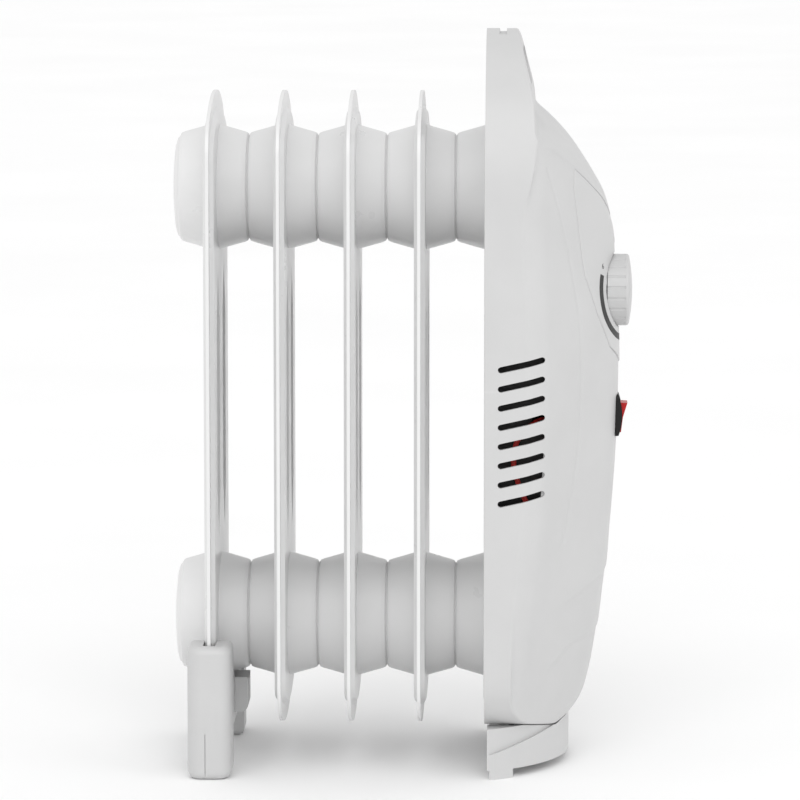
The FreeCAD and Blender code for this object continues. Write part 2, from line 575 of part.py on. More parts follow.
# ---- controls -------------------------------------------------------------------------------
def make_controls():
    knob = rod(V(KNOB_BACK_X, 0, KNOB_Z), X_AXIS, KNOB_FACE_X - KNOB_BACK_X, KNOB_R)
    knob = knob.common(Part.makeSphere(KNOB_DOME_R, V(KNOB_FACE_X - KNOB_DOME_R, 0, KNOB_Z)))
    rim_x = KNOB_FACE_X - KNOB_DOME_R + math.sqrt(KNOB_DOME_R ** 2 - KNOB_R ** 2)
    knob = knob.makeFillet(1.6, [e for e in knob.Edges if abs(e.CenterOfMass.x - rim_x) < 0.1])
    for index in range(KNOB_FLUTES):
        angle = 2 * math.pi * (index + 0.5) / KNOB_FLUTES
        reach = KNOB_R + KNOB_FLUTE_R * 0.55
        groove = rod(V(KNOB_BACK_X, reach * math.sin(angle), KNOB_Z + reach * math.cos(angle)),
                     X_AXIS, KNOB_FACE_X - KNOB_BACK_X - 3.4, KNOB_FLUTE_R)
        knob = knob.cut(groove)
    # hollow back with a hub that grips the flat of the shaft
    hollow = rod(V(KNOB_BACK_X, 0, KNOB_Z), X_AXIS, 9.6, KNOB_R - 2.4)
    hollow = hollow.cut(rod(V(KNOB_BACK_X, 0, KNOB_Z), X_AXIS, 9.6, SHAFT_R + 2.2))
    knob = knob.cut(hollow)
    # index groove on the face points up at OFF
    knob = knob.cut(block((KNOB_FACE_X - 1.5, KNOB_FACE_X), (-0.7, 0.7),
                          (KNOB_Z + 7.5, KNOB_Z + 15.0)))
    shaft = rod(V(84.0, 0, KNOB_Z), X_AXIS, 27.0, SHAFT_R)
    flat = block((96.0, 112.0), (-4, 4), (KNOB_Z + SHAFT_R - SHAFT_FLAT, KNOB_Z + 5))
    shaft = shaft.cut(flat)
    save("temperature_knob", knob.cut(shaft))
    save("thermostat_shaft", shaft)

    body = block((72.0, 88.0), (-17, 17), (KNOB_Z - 13, KNOB_Z + 13))
    bush = rod(V(88.0, 0, KNOB_Z), X_AXIS, 5.0, SHAFT_R + 1.8)
    body = body.fuse(bush).removeSplitter()
    body = body.cut(rod(V(80.0, 0, KNOB_Z), X_AXIS, 20, SHAFT_R + SHAFT_RUNNING))
    save("thermostat_body", body)
    blades = [block((66.5, 72.0), (side * 10 - 3.1, side * 10 + 3.1), (KNOB_Z - 9.4, KNOB_Z - 8.6))
              for side in (-1, 1)]
    save("thermostat_terminals", *blades)
    # sheet bracket: feet on the plate, a web across the front of the thermostat
    web = block((88.0, 89.2), (-24, 24), (KNOB_Z - 10, KNOB_Z + 10))
    web = web.cut(rod(V(87, 0, KNOB_Z), X_AXIS, 4, SHAFT_R + 2.0))
    feet = []
    for side in (-1, 1):
        y0 = 24 * side
        arm = block((PLATE_FRONT_X, 89.2), sorted((y0, y0 - side * 1.2)),
                    (KNOB_Z - 10, KNOB_Z + 10))
        foot = block((PLATE_FRONT_X, PLATE_FRONT_X + 1.2), sorted((y0, y0 + side * 12)),
                     (KNOB_Z - 10, KNOB_Z + 10))
        feet += [arm, foot]
    for piece in feet:
        web = web.fuse(piece)
    web = web.removeSplitter()
    rivets = []
    for side in (-1, 1):
        spot = V(PLATE_FRONT_X, side * 30, KNOB_Z)
        web = web.cut(rod(spot, X_AXIS, 2, 2.0))
        rivet = rod(spot, X_AXIS, 1.2, 2.0).fuse(rod(spot + V(1.2, 0, 0), X_AXIS, 1.0, 3.4))
        rivets.append(rivet.removeSplitter())
    save("thermostat_bracket", web)
    save("bracket_rivets", *rivets)
    make_switch()


def rocker_profile():
    """Side view of the rocker at mid throw: two shallow slopes over a round belly."""
    dish = math.tan(math.radians(ROCKER_DISH_DEG))
    top = ROCKER_PIVOT_X + 5.2
    return [V(top, 0, SWITCH_Z), V(top + dish * ROCKER_HALF_Z, 0, SWITCH_Z + ROCKER_HALF_Z),
            V(ROCKER_PIVOT_X + 1.0, 0, SWITCH_Z + ROCKER_HALF_Z - 0.8),
            V(ROCKER_PIVOT_X - 3.2, 0, SWITCH_Z + 3.4),
            V(ROCKER_PIVOT_X - 3.2, 0, SWITCH_Z - 3.4),
            V(ROCKER_PIVOT_X + 1.0, 0, SWITCH_Z - ROCKER_HALF_Z + 0.8),
            V(top + dish * ROCKER_HALF_Z, 0, SWITCH_Z - ROCKER_HALF_Z)]


def make_switch():
    body = block((SWITCH_BODY_BACK_X, BEZEL_BACK_X), (-SWITCH_BODY_HALF_Y, SWITCH_BODY_HALF_Y),
                 (SWITCH_Z - SWITCH_BODY_HALF_Z, SWITCH_Z + SWITCH_BODY_HALF_Z))
    bezel = block((106.3, BEZEL_FACE_X), (-BEZEL_HALF_Y, BEZEL_HALF_Y),
                  (SWITCH_Z - BEZEL_HALF_Z, SWITCH_Z + BEZEL_HALF_Z))
    corners = [e for e in bezel.Edges if abs(e.CenterOfMass.y) > BEZEL_HALF_Y - 0.1
               and abs(e.CenterOfMass.z - SWITCH_Z) > BEZEL_HALF_Z - 0.1]
    bezel = bezel.makeFillet(BEZEL_CORNER_R, corners)
    bezel = bezel.common(rod(V(BEZEL_FACE_X - BEZEL_DOME_R, -20, SWITCH_Z), Y_AXIS, 40,
                             BEZEL_DOME_R))
    body = body.fuse(bezel).removeSplitter()
    # window and the well that the rocker swings in
    body = body.cut(block((ROCKER_PIVOT_X - 6.0, BEZEL_FACE_X + 1),
                          (-ROCKER_HALF_Y - 0.25, ROCKER_HALF_Y + 0.25),
                          (SWITCH_Z - ROCKER_HALF_Z - 1.3, SWITCH_Z + ROCKER_HALF_Z + 1.3)))
    pin_reach = ROCKER_HALF_Y + 0.9
    body = body.cut(rod(V(ROCKER_PIVOT_X, -pin_reach - 0.1, SWITCH_Z), Y_AXIS,
                        2 * pin_reach + 0.2, 1.25 + SHAFT_RUNNING))
    save("switch_body", body)
    profile = rocker_profile()
    rocker = prism(polygon(profile), Y_AXIS * (2 * ROCKER_HALF_Y)).translated(
        V(0, -ROCKER_HALF_Y, 0))
    rocker = rocker.fuse(rod(V(ROCKER_PIVOT_X, -pin_reach, SWITCH_Z), Y_AXIS,
                             2 * pin_reach, 1.25)).removeSplitter()
    rocker = rocker.cut(rod(V(ROCKER_PIVOT_X + 0.6, -4.0, SWITCH_Z), Y_AXIS, 8.0, 1.9))
    rocker.rotate(V(ROCKER_PIVOT_X, 0, SWITCH_Z), Y_AXIS, ROCKER_TILT_DEG)
    save("switch_rocker", rocker)
    blades = [block((84.0, SWITCH_BODY_BACK_X), (-3.1, 3.1), (SWITCH_Z + dz - 0.4, SWITCH_Z + dz + 0.4))
              for dz in (-6.5, 0.0, 6.5)]
    save("switch_terminals", *blades)


# ---- wiring ---------------------------------------------------------------------------------
def make_wiring():
    block_x = (PLATE_FRONT_X, PLATE_FRONT_X + 11)
    strip = block(block_x, (-44, -14), (100, 116))
    for index in range(3):
        y = -39 + index * 10
        strip = strip.cut(rod(V(block_x[1] - 5, y, 108), X_AXIS, 10, 2.6))
    save("terminal_block", strip)
    screws = []
    for index in range(3):
        y = -39 + index * 10
        screws.append(rod(V(block_x[1] - 5, y, 108), X_AXIS, 2.2, 2.4))
    save("terminal_screws", *screws)
    cutout_z = COLLECTOR_LOW_Z + 2
    cutout = rod(V(PLATE_FRONT_X, CUTOUT_Y, cutout_z), X_AXIS, 6.0, 8.0)
    cutout = cutout.fuse(rod(V(PLATE_FRONT_X + 6, CUTOUT_Y, cutout_z), X_AXIS, 5.0, 6.4))
    save("thermal_cutout", cutout.removeSplitter())
    neck = rod(V(GLAND_X, GLAND_Y, 17.0), Z_AXIS, 12.0, 5.9)
    collar = rod(V(GLAND_X, GLAND_Y, 15.0), Z_AXIS, 5.4, 8.6)
    gland = collar.fuse(neck).removeSplitter()
    save("cable_gland", gland.cut(rod(V(GLAND_X, GLAND_Y, 10), Z_AXIS, 25, 3.3)))
    wire_r = 1.3
    # loops out past the fold of the plate, close behind the louvres
    save("live_wire", tube([(70, -39, 116.2), (70, -40, 121.5), (67.5, -52, 126),
                            (64.5, -57.5, 132), (61, -58.5, 140.5), (57, -59, 150),
                            (55.3, -59, 159), (57, -58, 169), (66.5, -54, 178),
                            (77, -36, 177), (80, -14, 169), (82.5, 0, SWITCH_Z - 6.5)], wire_r))
    save("switched_wire", tube([(82.5, 0, SWITCH_Z + 6.5), (77, -2, 182), (72, -14, 194),
                                (66.2 + wire_r, -14, 208), (69.5, -10, KNOB_Z - 10.7)], wire_r))
    save("element_wire", tube([(69.5, 10, KNOB_Z - 10.7), (71, 22, 212), (76, 36, 190), (74, 40, 160),
                               (72, 36, 128), (PLATE_FRONT_X + 11 + wire_r, 36, 100),
                               (PLATE_FRONT_X + 11 + wire_r, CUTOUT_Y, 82)], wire_r))
    save("neutral_wire", tube([(70, -19, 99.8), (70, -19, 91), (75, -14, 85),
                               (81.5, -8, 83.2), (81.5, 3, 83.2)], wire_r))
    save("earth_wire", tube([(70, -29, 99.8), (70, -29, 90), (69, -27, 78),
                             (PLATE_FRONT_X + wire_r + 0.2, -22, 66)], wire_r))


# ---- feet -----------------------------------------------------------------------------------
def fin_slot(x, side_gap, under_gap):
    """The room that one fin's rim takes up, with some clearance all round."""
    outline = arch_outline(x - CHANNEL_HALF - side_gap, FIN_HALF_WIDTH + under_gap,
                           FIN_BOTTOM_Z - under_gap, FIN_TOP_Z + under_gap,
                           FIN_BOTTOM_CORNER + under_gap, FIN_BOTTOM_CROWN + under_gap,
                           FIN_TOP_CORNER + under_gap, FIN_TOP_CROWN + under_gap)
    return prism(outline, X_AXIS * (2 * (CHANNEL_HALF + side_gap)))


def rear_leg(side):
    """Rounded upright on one side."""
    centre_x = FIN_X[0]
    ys = sorted((side * REAR_LEG_IN_Y, side * REAR_LEG_OUT_Y))
    leg = block((centre_x - REAR_LEG_HALF_X, centre_x + REAR_LEG_HALF_X), ys,
                (0, REAR_LEG_TOP_Z))
    outer = side * REAR_LEG_OUT_Y
    upright = [e for e in leg.Edges
               if abs(e.CenterOfMass.y - outer) < 0.1 and 5 < e.CenterOfMass.z < 65]
    leg = leg.makeFillet(7.0, upright)
    leg = leg.makeFillet(4.0, [e for e in leg.Edges if e.CenterOfMass.z < 0.1
                               or e.CenterOfMass.z > REAR_LEG_TOP_Z - 0.1])
    seam_x = centre_x - REAR_SEAM_BACK
    seam = block((seam_x - 0.2, seam_x + 0.2), sorted((outer - side * 0.7, outer + side)),
                 (-1, REAR_SEAM_TOP_Z))
    return leg.cut(seam)


def make_rear_foot():
    centre_x = FIN_X[0]
    bar = block((centre_x - 9.0, centre_x + 9.5), (-52, 52), (BAR_LOW_Z, BAR_HIGH_Z))
    saddle = block((centre_x, SADDLE_FRONT_X), (-SADDLE_HALF_Y, SADDLE_HALF_Y),
                   (SADDLE_LOW_Z, BAR_HIGH_Z))
    corner = [e for e in saddle.Edges if abs(e.CenterOfMass.x - SADDLE_FRONT_X) < 0.1
              and abs(e.CenterOfMass.z - SADDLE_LOW_Z) < 0.1]
    foot = bar.fuse(rear_leg(-1)).fuse(rear_leg(1)).fuse(saddle.makeFillet(4.0, corner))
    foot = foot.removeSplitter()
    # the legs, the bar and its saddle lean in under the collector
    foot = foot.cut(rod(V(-200, 0, COLLECTOR_LOW_Z), X_AXIS, 300, COLLECTOR_ROOT_R + 1.0))
    foot = foot.cut(fin_slot(centre_x, FOOT_CLEAR, FOOT_CLEAR))
    foot = foot.cut(block((centre_x - 4, centre_x + 4), (-44, 44), (10, 30)))
    screws = []
    rear_x = centre_x - REAR_LEG_HALF_X
    for side in (-1, 1):
        spot = V(rear_x, side * FOOT_FIX_Y, FOOT_FIX_Z)
        foot = foot.cut(rod(spot, X_AXIS, 2.4, 3.7))
        foot = foot.cut(rod(spot, X_AXIS, FOOT_SCREW_LENGTH, SCREW_R))
        screw = rod(spot + V(0.3, 0, 0), X_AXIS, 2.1, 3.4)
        screw = screw.fuse(rod(spot + V(0.3, 0, 0), X_AXIS, FOOT_SCREW_LENGTH - 0.3, SCREW_R))
        screws.append(screw.removeSplitter())
    save("rear_foot", foot.removeSplitter())
    save("rear_foot_screws", *screws)


def make_front_foot():
    """Crescent under the housing that stands on a pad at each end."""
    outer = rod(V(FRONT_FOOT_CENTRE_X, 0, 0), Z_AXIS, FRONT_FOOT_TOP_Z, FRONT_FOOT_OUT_R)
    inner = rod(V(FRONT_FOOT_CENTRE_X, 0, -1), Z_AXIS, 40,
                FRONT_FOOT_OUT_R - FRONT_FOOT_WALL)
    deck = block((FRONT_FOOT_REAR_X, 84), (-60, 60), (FRONT_FOOT_UNDER_Z + 6, 15.0))
    reach = block((43.0, 100), (-FRONT_FOOT_HALF_Y, FRONT_FOOT_HALF_Y), (0, 60))
    foot = outer.cut(inner).fuse(outer.common(deck)).common(reach)
    # leave a band standing proud, which climbs towards the front
    skin = outer.cut(rod(V(FRONT_FOOT_CENTRE_X, 0, -1), Z_AXIS, 60,
                         FRONT_FOOT_OUT_R - BELT_DEPTH))
    above = polygon([V(BELT_REAR[0], -80, BELT_REAR[1]), V(BELT_FRONT[0], -80, BELT_FRONT[1]),
                     V(BELT_FRONT[0], -80, 60), V(BELT_REAR[0], -80, 60)])
    foot = foot.cut(skin.common(prism(above, Y_AXIS * 160)))
    # relieve the underside between the two pads
    foot = foot.cut(block((30, FRONT_PAD_REAR_X), (-80, 80), (-1, FRONT_FOOT_UNDER_Z)))
    foot = foot.cut(block((FRONT_PAD_FRONT_X, 120), (-80, 80), (-1, FRONT_FOOT_UNDER_Z)))
    foot = foot.cut(block((30, 120), (-48, 48), (-1, FRONT_FOOT_UNDER_Z)))
    # keep clear of the housing's belly and of the last fin
    belly = prism(arch_outline(30, HOUSING_HALF_WIDTH + 0.4, HOUSING_BOTTOM_Z - 0.4, 300,
                               HOUSING_BOTTOM_CORNER, HOUSING_BOTTOM_CROWN, 30, 200),
                  X_AXIS * 90)
    foot = foot.cut(belly.common(belly_solid(-0.4)))
    foot = foot.cut(fin_slot(FIN_X[-1], FOOT_CLEAR, FOOT_CLEAR))
    foot = foot.cut(rod(V(GLAND_X, GLAND_Y, -5), Z_AXIS, 60, 9.5))
    screws = []
    for x, y in FOOT_SCREW_SPOTS:
        post = rod(V(x, y, 10.5), Z_AXIS, 12.0, 5.5)
        post = post.cut(belly)
        foot = foot.fuse(post)
        foot = foot.cut(rod(V(x, y, 0), Z_AXIS, 60, SCREW_R + 0.1))
        foot = foot.cut(rod(V(x, y, -1), Z_AXIS, 11.5, 4.2))
        screw = rod(V(x, y, 10.5), Z_AXIS, 16.0, SCREW_R)
        screws.append(screw.fuse(rod(V(x, y, 8.3), Z_AXIS, 2.2, 3.6)).removeSplitter())
    save("front_foot", foot.removeSplitter())
    save("foot_screws", *screws)


os.makedirs("parts", exist_ok=True)
make_radiator()
make_element()
make_housing()
make_controls()
make_wiring()
make_rear_foot()
make_front_foot()
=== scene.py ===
import json
import math

import bmesh
import bpy
import numpy as np
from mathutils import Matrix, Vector


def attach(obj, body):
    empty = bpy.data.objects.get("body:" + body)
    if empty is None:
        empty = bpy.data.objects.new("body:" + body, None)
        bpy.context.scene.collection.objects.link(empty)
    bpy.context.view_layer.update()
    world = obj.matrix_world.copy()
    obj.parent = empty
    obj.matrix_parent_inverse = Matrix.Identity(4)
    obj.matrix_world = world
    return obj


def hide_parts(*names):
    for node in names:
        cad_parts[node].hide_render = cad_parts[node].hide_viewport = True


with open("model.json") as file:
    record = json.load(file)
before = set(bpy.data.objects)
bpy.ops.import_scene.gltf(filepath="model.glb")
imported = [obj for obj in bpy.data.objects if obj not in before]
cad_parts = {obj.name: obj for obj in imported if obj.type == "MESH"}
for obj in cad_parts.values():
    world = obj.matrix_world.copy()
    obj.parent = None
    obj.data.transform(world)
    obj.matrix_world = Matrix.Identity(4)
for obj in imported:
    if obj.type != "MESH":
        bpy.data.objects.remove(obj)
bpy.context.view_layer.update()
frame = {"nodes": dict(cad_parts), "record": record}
nodes = frame["nodes"]

MM = 0.001

# ---- driving sizes, in millimetres, the same as the CAD part's ------------------------------
REAR_X = 41.5
HALF_WIDTH = 69.5
TOP_Z = 367.6
BOTTOM_Z = 20.0
TOP_SIDE_R = 80.0
TOP_CROWN = 52.0
BOTTOM_CORNER = 24.0
BOTTOM_CROWN = 230.0
BELLY_CENTRE_X = 65.2           # the round of the lower front edge
BELLY_CENTRE_Z = 48.6
BELLY_R = 29.1
BELLY_TURN_DEG = 67.0
WALL = 2.2
NOSE_WALL = 2.8
CAVITY_TOP_Z = 338.0
FLANK_SLOPE = 0.752
NOSE_ROUNDNESS = 20.0
SHOULDER_START_Y = 61.0
SHOULDER_BEND = 0.07
CAP_ROUND_R = 150.0
# centre lines of the flanks and of the cap over them, and the slab's front: height, distance forward
NOSE_LINE = ((0.0, 84.0), (30.0, 91.0), (45.0, 93.7), (63.0, 96.7), (98.5, 101.7),
             (139.0, 105.4), (170.0, 107.1), (200.0, 107.7), (230.0, 106.9), (257.6, 104.9),
             (285.0, 104.3), (345.0, 103.0))
CAP_LINE = ((230.0, 114.0), (256.0, 107.6), (272.0, 103.3), (285.3, 99.6), (295.4, 94.7),
            (305.5, 88.8), (315.6, 81.6), (325.7, 71.9), (334.0, 61.5), (345.0, 46.0))
SLAB_FRONT = ((8.0, 55.0), (255.0, 55.0), (275.0, 58.0), (295.0, 64.0), (310.0, 66.3),
              (331.0, 65.5), (351.0, 61.4), (364.0, 58.3), (372.0, 55.0))
GRIP_LOW_Z = 340.5
GRIP_HIGH_Z = 358.5
GRIP_HALF_WIDTH = 30.0
TOP_SLOT = (47.9, 51.5, 15.0, 2.2)          # rear X, front X, half width, depth

LOUVRE_COUNT = 8
LOUVRE_REAR_X = 49.5
LOUVRE_LENGTH = 20.5
LOUVRE_TOP_Z = 204.8
LOUVRE_PITCH = 9.46
LOUVRE_WIDTH = 3.1
LOUVRE_RISE_DEG = 12.6

KNOB_Z = 237.1
POCKET_R = 18.6
POCKET_FLOOR_X = 101.3
SHAFT_HOLE_R = 5.0
PANEL_PROUD = 0.6
PANEL_SEAT = 1.5
PANEL_GAP = 0.25
PANEL_THICKNESS = 1.6
CUP_WALL = 2.0                  # wall of the cup that the knob sits in
BORE_R = POCKET_R + 2.6         # hole through the housing that the cup passes
BEYOND_NOSE_X = 130.0
PANEL_OUTLINE = ((0.0, 274.5), (14.0, 281.5), (26.0, 290.0), (40.8, 301.0), (41.3, 291.0),
                 (38.9, 276.0), (36.9, 262.0), (34.6, 247.0), (27.1, 228.0), (16.2, 210.0),
                 (0.0, 201.0))
SWITCH_Z = 174.3
SWITCH_HOLE_HALF_Y = 6.6
SWITCH_HOLE_HALF_Z = 9.7

# moulded relief on the nose, as distance across and height
CREST = ((0.0, 274.5), (14.0, 281.5), (26.0, 290.0), (41.0, 301.5), (51.0, 308.0),
         (64.0, 316.0))
CREST_RISE = 0.8
CREASE = ((59.0, 302.3), (51.2, 280.4), (46.6, 265.0), (43.8, 252.7), (40.7, 228.9),
          (39.8, 200.7), (40.7, 163.6), (44.7, 129.0), (47.1, 115.0))
CREASE_DEPTH = 0.5
CREASE_HALF_WIDTH = 0.9
CHEVRONS = (((0.0, 98.0), (37.0, 86.0), (46.0, 82.0)),
            ((0.0, 68.0), (32.6, 62.3), (44.4, 52.0), (50.0, 49.0)))
CHEVRON_STEP = 0.55

ROW_STEP = 1.0                  # spacing of the housing's mesh, in millimetres
COLUMN_COUNT = 180
SHARP_DEG = 32.0


# ---- materials ------------------------------------------------------------------------------
def node_tree(name):
    material = bpy.data.materials.new(name)
    material.use_nodes = True
    tree = material.node_tree
    return material, tree, tree.nodes["Principled BSDF"]


def noise(tree, scale, detail=3.0, roughness=0.5, stretch=None):
    """Noise laid over the part's own coordinates, in metres."""
    coords = tree.nodes.new("ShaderNodeTexCoord")
    mapping = tree.nodes.new("ShaderNodeMapping")
    if stretch:
        mapping.inputs["Scale"].default_value = stretch
    texture = tree.nodes.new("ShaderNodeTexNoise")
    texture.inputs["Scale"].default_value = scale
    texture.inputs["Detail"].default_value = detail
    texture.inputs["Roughness"].default_value = roughness
    tree.links.new(coords.outputs["Object"], mapping.inputs["Vector"])
    tree.links.new(mapping.outputs["Vector"], texture.inputs["Vector"])
    return texture.outputs["Fac"]


def ramp(tree, factor, low, high, start=0.35, stop=0.65):
    """Two colours mixed by a factor; returns the colour output."""
    node = tree.nodes.new("ShaderNodeValToRGB")
    node.color_ramp.elements[0].position = start
    node.color_ramp.elements[1].position = stop
    node.color_ramp.elements[0].color = (*low, 1.0)
    node.color_ramp.elements[1].color = (*high, 1.0)
    tree.links.new(factor, node.inputs["Fac"])
    return node.outputs["Color"]


def spread(tree, factor, low, high):
    """A factor stretched to run from low to high."""
    node = tree.nodes.new("ShaderNodeMapRange")
    node.inputs["From Min"].default_value = 0.3
    node.inputs["From Max"].default_value = 0.7
    node.inputs["To Min"].default_value = low
    node.inputs["To Max"].default_value = high
    tree.links.new(factor, node.inputs["Value"])
    return node.outputs["Result"]


def add_bump(tree, shader, factor, strength, distance, previous=None):
    bump = tree.nodes.new("ShaderNodeBump")
    bump.inputs["Strength"].default_value = strength
    bump.inputs["Distance"].default_value = distance
    tree.links.new(factor, bump.inputs["Height"])
    if previous:
        tree.links.new(previous, bump.inputs["Normal"])
    tree.links.new(bump.outputs["Normal"], shader.inputs["Normal"])
    return bump.outputs["Normal"]


def edge_wear(tree, colour, worn, reach=0.06):
    """Blends a worn colour in along convex edges."""
    geometry = tree.nodes.new("ShaderNodeNewGeometry")
    edges = tree.nodes.new("ShaderNodeMapRange")
    edges.inputs["From Min"].default_value = 0.5 + reach
    edges.inputs["From Max"].default_value = 0.5 + reach * 3
    tree.links.new(geometry.outputs["Pointiness"], edges.inputs["Value"])
    mix = tree.nodes.new("ShaderNodeMix")
    mix.data_type = "RGBA"
    tree.links.new(edges.outputs["Result"], mix.inputs["Factor"])
    tree.links.new(colour, mix.inputs["A"])
    mix.inputs["B"].default_value = (*worn, 1.0)
    return mix.outputs["Result"]


def moulded(name, colour, rough, grain_scale, grain_depth, shade=0.97, worn=None, shine=0.5):
    """Moulded plastic: cloudy colour, patchy sheen, spark-eroded grain and rubbed edges."""
    material, tree, shader = node_tree(name)
    darker = tuple(c * shade for c in colour)
    tone = ramp(tree, noise(tree, 34.0, 4.0), darker, colour)
    edge = worn or tuple(min(1.0, c * 1.03) for c in colour)
    tree.links.new(edge_wear(tree, tone, edge), shader.inputs["Base Color"])
    sheen = spread(tree, noise(tree, 60.0, 5.0, 0.6), rough - 0.05, rough + 0.06)
    tree.links.new(sheen, shader.inputs["Roughness"])
    grain = noise(tree, grain_scale, 2.0, 0.6)
    add_bump(tree, shader, grain, 0.35, grain_depth)
    shader.inputs["Specular IOR Level"].default_value = shine
    return material


def powder_coat(name, colour, rough):
    """Baked enamel on pressed sheet: orange peel, faint waves and slightly thin edges."""
    material, tree, shader = node_tree(name)
    tone = ramp(tree, noise(tree, 22.0, 3.0), tuple(c * 0.975 for c in colour), colour)
    edge = tuple(c * 0.97 for c in colour)
    tree.links.new(edge_wear(tree, tone, edge), shader.inputs["Base Color"])
    tree.links.new(spread(tree, noise(tree, 45.0, 4.0), rough - 0.05, rough + 0.07),
                   shader.inputs["Roughness"])
    waves = add_bump(tree, shader, noise(tree, 60.0, 2.0), 0.25, 0.0006)
    add_bump(tree, shader, noise(tree, 900.0, 1.5), 0.22, 0.00012, waves)
    shader.inputs["Coat Weight"].default_value = 0.25
    shader.inputs["Coat Roughness"].default_value = 0.2
    return material


def metal(name, colour, rough, stretch):
    """Plated sheet or turned metal with fine directional scratches."""
    material, tree, shader = node_tree(name)
    shader.inputs["Metallic"].default_value = 1.0
    tone = ramp(tree, noise(tree, 120.0, 4.0), tuple(c * 0.8 for c in colour), colour)
    tree.links.new(tone, shader.inputs["Base Color"])
    lines = noise(tree, 900.0, 3.0, 0.6, stretch)
    tree.links.new(spread(tree, lines, rough - 0.08, rough + 0.12), shader.inputs["Roughness"])
    add_bump(tree, shader, lines, 0.3, 0.00006)
    return material


def red_lens(name):
    """Deep red moulding, slightly translucent."""
    material, tree, shader = node_tree(name)
    tone = ramp(tree, noise(tree, 150.0, 3.0), (0.40, 0.006, 0.008), (0.52, 0.012, 0.014))
    tree.links.new(tone, shader.inputs["Base Color"])
    tree.links.new(spread(tree, noise(tree, 300.0), 0.25, 0.38), shader.inputs["Roughness"])
    add_bump(tree, shader, noise(tree, 1400.0, 2.0), 0.15, 0.00005)
    shader.inputs["Specular IOR Level"].default_value = 0.25
    shader.inputs["Subsurface Weight"].default_value = 0.2
    shader.inputs["Subsurface Radius"].default_value = (0.004, 0.001, 0.001)
    shader.inputs["Coat Weight"].default_value = 0.05
    return material


def ink(name, colour):
    """Pad-printed ink with slightly uneven cover."""
    material, tree, shader = node_tree(name)
    tone = ramp(tree, noise(tree, 500.0, 5.0, 0.7), tuple(c * 0.75 for c in colour), colour)
    tree.links.new(tone, shader.inputs["Base Color"])
    tree.links.new(spread(tree, noise(tree, 700.0), 0.45, 0.6), shader.inputs["Roughness"])
    add_bump(tree, shader, noise(tree, 2500.0, 2.0), 0.3, 0.00003)
    return material


def floor_paint(name):
    material, tree, shader = node_tree(name)
    tone = ramp(tree, noise(tree, 3.0), (0.95, 0.95, 0.95), (0.97, 0.97, 0.97))
    tree.links.new(tone, shader.inputs["Base Color"])
    tree.links.new(spread(tree, noise(tree, 8.0), 0.75, 0.9), shader.inputs["Roughness"])
    return material


WHITE = (0.57, 0.57, 0.57)
MATERIALS = {
    "fin_paint": powder_coat("fin_paint", (0.74, 0.74, 0.74), 0.32),
    "housing_plastic": moulded("housing_plastic", WHITE, 0.40, 1500.0, 0.00008),
    "panel_plastic": moulded("panel_plastic", WHITE, 0.36, 1500.0, 0.00006),
    "foot_plastic": moulded("foot_plastic", (0.56, 0.56, 0.56), 0.42, 1300.0, 0.0001),
    "knob_plastic": moulded("knob_plastic", (0.54, 0.54, 0.54), 0.38, 1700.0, 0.00006),
    "black_plastic": moulded("black_plastic", (0.010, 0.010, 0.010), 0.45, 1600.0, 0.00008,
                             0.7, (0.018, 0.018, 0.018), 0.2),
    "red_rocker": red_lens("red_rocker"),
    "steel": metal("steel", (0.56, 0.57, 0.58), 0.34, (1.0, 8.0, 1.0)),
    "brass": metal("brass", (0.72, 0.52, 0.22), 0.30, (1.0, 1.0, 8.0)),
    "ceramic": moulded("ceramic", (0.74, 0.70, 0.60), 0.55, 1100.0, 0.0001, 0.93),
    "phenolic": moulded("phenolic", (0.05, 0.028, 0.018), 0.40, 1200.0, 0.0001, 0.8),
    "wire_red": moulded("wire_red", (0.55, 0.02, 0.015), 0.45, 1800.0, 0.00006, 0.85),
    "wire_blue": moulded("wire_blue", (0.02, 0.07, 0.36), 0.45, 1800.0, 0.00006, 0.85),
    "wire_brown": moulded("wire_brown", (0.13, 0.045, 0.02), 0.45, 1800.0, 0.00006, 0.85),
    "wire_green": moulded("wire_green", (0.08, 0.28, 0.05), 0.45, 1800.0, 0.00006, 0.85),
    "print": ink("dial_print", (0.035, 0.035, 0.035)),
    # black plate colour is painted shade: it stands for the shade inside the housing behind the
    # louvres
    "plate_painted_shade": powder_coat("plate_painted_shade", (0.02, 0.02, 0.02), 0.55),
}


def dress_cad_nodes():
    """Gives every carried-over node the finished material of its slot."""
    for part in frame["record"]["subparts"]:
        obj = nodes[part["node"]]
        # the plate behind the louvres gets a black colour as painted shade, standing for the shaded
        # inside of the housing, so the slots read dark
        slot = "plate_painted_shade" if part["node"] == "mounting_plate" else part["material_slot"]
        material = MATERIALS[slot]
        if not obj.data.materials:
            obj.data.materials.append(material)
        for place in obj.material_slots:
            place.material = material


# ---- mesh helpers ---------------------------------------------------------------------------
def add_mesh(name, vertices, faces, material=None):
    """A mesh object from points in millimetres."""
    mesh = bpy.data.meshes.new(name)
    scaled = [(x * MM, y * MM, z * MM) for x, y, z in vertices]
    mesh.from_pydata(scaled, [], faces)
    mesh.update()
    obj = bpy.data.objects.new(name, mesh)
    bpy.context.scene.collection.objects.link(obj)
    if material:
        mesh.materials.append(MATERIALS[material])
    return obj


def tidy(obj, weld=0.02):
    """Welds doubled points and turns every face outwards."""
    bm = bmesh.new()
    bm.from_mesh(obj.data)
    bmesh.ops.remove_doubles(bm, verts=bm.verts, dist=weld * MM)
    bmesh.ops.dissolve_degenerate(bm, edges=bm.edges, dist=0.004 * MM)
    bmesh.ops.recalc_face_normals(bm, faces=bm.faces)
    bm.to_mesh(obj.data)
    bm.free()


